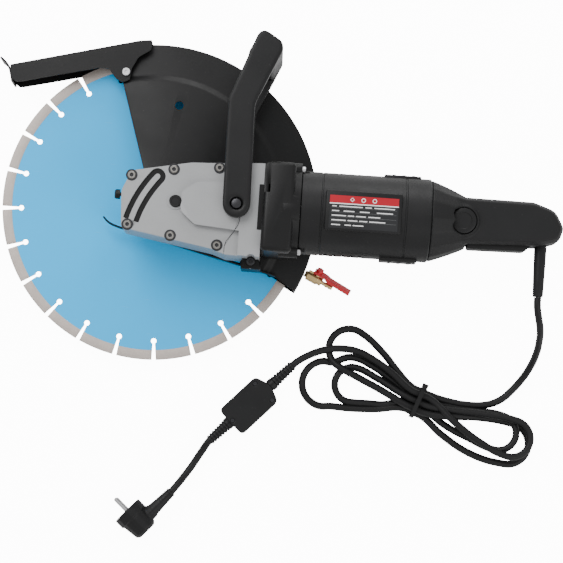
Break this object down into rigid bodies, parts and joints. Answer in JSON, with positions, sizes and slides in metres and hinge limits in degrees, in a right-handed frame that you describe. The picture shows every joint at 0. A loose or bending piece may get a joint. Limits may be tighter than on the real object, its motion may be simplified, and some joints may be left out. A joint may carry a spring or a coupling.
{
  "type": "concrete cut-off saw",
  "caption": "Electric concrete cut-off saw with a guarded diamond disc, bevel gear case, motor, rear trigger grip, bail handle, coiled lead, residual-current box and plug.",
  "frame": {"origin": "on the blade spindle axis, level with the spindle's free end and with the underside of the guard's far plate", "axes": "+X along the motor axis from the spindle to the rear grip, +Y towards the cross bar of the bail handle, +Z along the spindle from the blade to the gear case cover"},
  "size_m": [0.6577, 0.5777, 0.145],
  "materials": {
    "cast_aluminium": "sand-cast, fine matte grain",
    "black_paint": "satin powder coat",
    "black_plastic": "fine-textured moulding",
    "black_oxide": "black oxide, oiled",
    "steel": "ground and turned",
    "blade_blue": "satin lacquer on steel, bare segments",
    "brass": "turned",
    "red_dip": "dipped vinyl on steel",
    "rubber": "matte cord jacket",
    "copper": "varnished copper windings on a laminated core",
    "carbon": "pressed carbon",
    "grey_plastic": "fine-textured moulding"
  },
  "bodies": {
    "frame": {"gear_case": "cast_aluminium", "gear_cover": "cast_aluminium", "cover_screw_1": "black_oxide", "cover_screw_2": "black_oxide", "cover_screw_3": "black_oxide", "cover_screw_4": "black_oxide", "cover_screw_5": "black_oxide", "cover_screw_6": "black_oxide", "oil_plug": "black_plastic", "guard_clamp_screw": "black_oxide", "guard_clamp_block": "black_paint", "spindle_bearing": "steel", "spindle_top_bearing": "steel", "layshaft_top_bearing": "steel", "motor_collar": "black_paint", "motor_housing": "black_plastic", "collar_screw_1": "steel", "collar_screw_2": "steel", "motor_bearing_front": "steel", "motor_bearing_rear": "steel", "stator": "steel", "carbon_brush_1": "carbon", "carbon_brush_2": "carbon", "grip_shell_near": "black_plastic", "grip_shell_far": "black_plastic", "power_switch": "black_plastic", "strain_relief": "rubber", "bail_bolt_near": "black_oxide", "bail_bolt_far": "black_oxide", "mains_lead": "rubber", "cable_tie": "black_plastic", "lead_hank": "rubber", "box_lead": "rubber", "plug_lead": "rubber", "rcd_base": "grey_plastic", "rcd_cover": "black_plastic", "plug_body": "rubber", "plug_pin_1": "steel", "plug_pin_2": "steel"},
    "spindle": {"spindle": "steel", "spindle_gear": "steel", "inner_flange": "steel", "diamond_blade": "blade_blue", "outer_flange": "steel", "spindle_nut": "steel"},
    "layshaft": {"layshaft": "steel", "bevel_gear": "steel"},
    "rotor": {"rotor_shaft": "steel", "armature": "copper", "fan": "black_plastic"},
    "guard": {"blade_guard": "black_paint", "guard_far_plate": "black_paint", "nose_pivot_screw": "steel", "water_valve": "brass"},
    "nose": {"nose_guard": "black_paint"},
    "valve_lever": {"valve_lever": "red_dip"},
    "bail": {"bail_handle": "black_plastic"},
    "trigger": {"trigger": "rubber"},
    "lock_button": {"lock_button": "black_plastic"},
    "spindle_lock": {"spindle_lock": "black_plastic"}
  },
  "joints": [
    {"name": "spindle_spin", "type": "hinge", "parent": "frame", "child": "spindle", "pos_m": [0, 0, 0], "axis": [0, 0, 1], "continuous": true},
    {"name": "layshaft_spin", "type": "hinge", "parent": "frame", "child": "layshaft", "pos_m": [0.04791, -0.003, 0], "axis": [0, 0, 1], "continuous": true},
    {"name": "rotor_spin", "type": "hinge", "parent": "frame", "child": "rotor", "pos_m": [0, -0.003, 0.095], "axis": [1, 0, 0], "continuous": true},
    {"name": "guard_swivel", "type": "hinge", "parent": "frame", "child": "guard", "pos_m": [0, 0, 0], "axis": [0, 0, 1], "range_deg": [-5, 15]},
    {"name": "nose_tilt", "type": "hinge", "parent": "guard", "child": "nose", "pos_m": [-0.0427, 0.154, 0], "axis": [0, 0, 1], "range_deg": [0, 20]},
    {"name": "valve_turn", "type": "hinge", "parent": "guard", "child": "valve_lever", "pos_m": [0.19332, -0.07062, 0.019], "axis": [-0.3591, -0.7362, -0.5736], "range_deg": [0, 90]},
    {"name": "bail_tilt", "type": "hinge", "parent": "frame", "child": "bail", "pos_m": [0.0977, -0.003, 0], "axis": [0, 0, 1], "range_deg": [-18, 15]},
    {"name": "trigger_squeeze", "type": "hinge", "parent": "frame", "child": "trigger", "pos_m": [0.426, -0.017, 0.095], "axis": [0, 0, -1], "range_deg": [0, 5], "stiffness_Nm_per_rad": 1},
    {"name": "lock_press", "type": "slide", "parent": "frame", "child": "lock_button", "axis": [0, 0, -1], "range_m": [0, 0.0025], "stiffness_N_per_m": 800},
    {"name": "spindle_lock_press", "type": "slide", "parent": "frame", "child": "spindle_lock", "axis": [1, 0, 0], "range_m": [0, 0.0015], "stiffness_N_per_m": 800}
  ],
  "couplings": [
    {"joint": "layshaft_spin", "follows": "spindle_spin", "ratio": -1.087},
    {"joint": "rotor_spin", "follows": "spindle_spin", "ratio": -3.2609}
  ]
}
